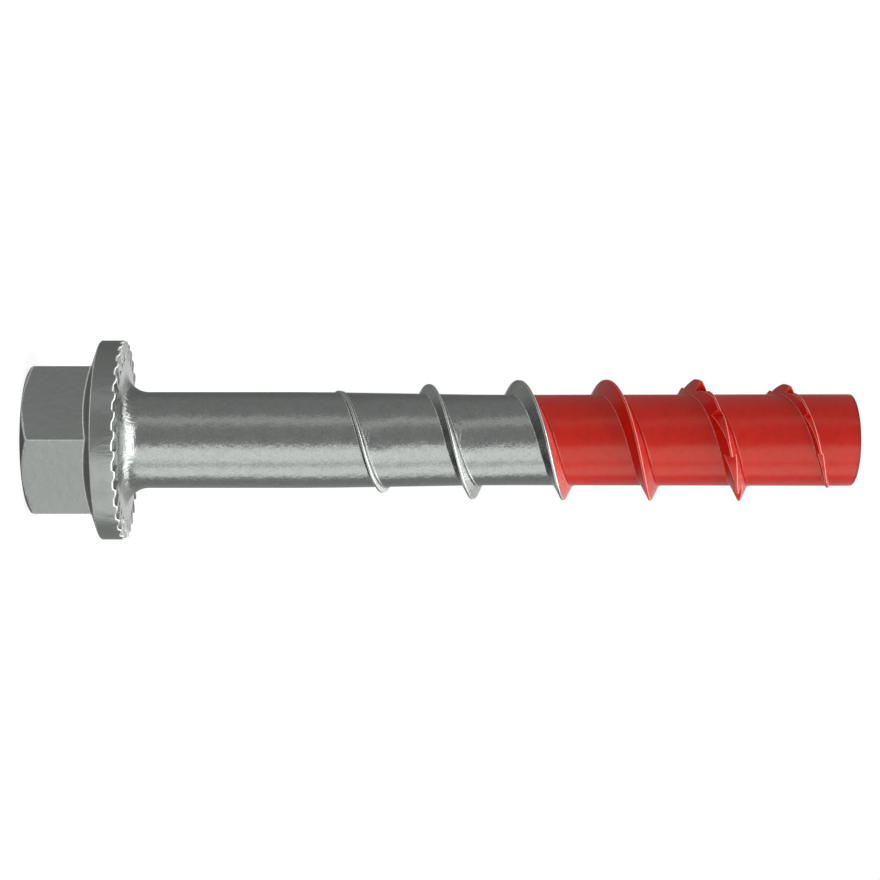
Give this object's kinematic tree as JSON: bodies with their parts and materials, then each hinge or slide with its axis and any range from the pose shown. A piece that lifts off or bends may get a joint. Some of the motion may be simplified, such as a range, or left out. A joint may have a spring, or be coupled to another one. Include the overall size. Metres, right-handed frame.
{
  "type": "concrete screw",
  "caption": "Hex washer head screw anchor with a coarse right-hand thread that cuts its own way into a drilled hole in concrete.",
  "frame": {"origin": "centre of the flat end of the hex head, which the screw stands on", "axes": "+Z along the screw's axis from the end of the head to the tip; two opposite corners of the hex point along +Y and -Y"},
  "size_m": [0.0206, 0.0206, 0.0847],
  "materials": {
    "plated_steel": "satin plating over hardened steel; the tip half carries a red coat"
  },
  "bodies": {
    "root": {"concrete_screw": "plated_steel"}
  },
  "joints": []
}
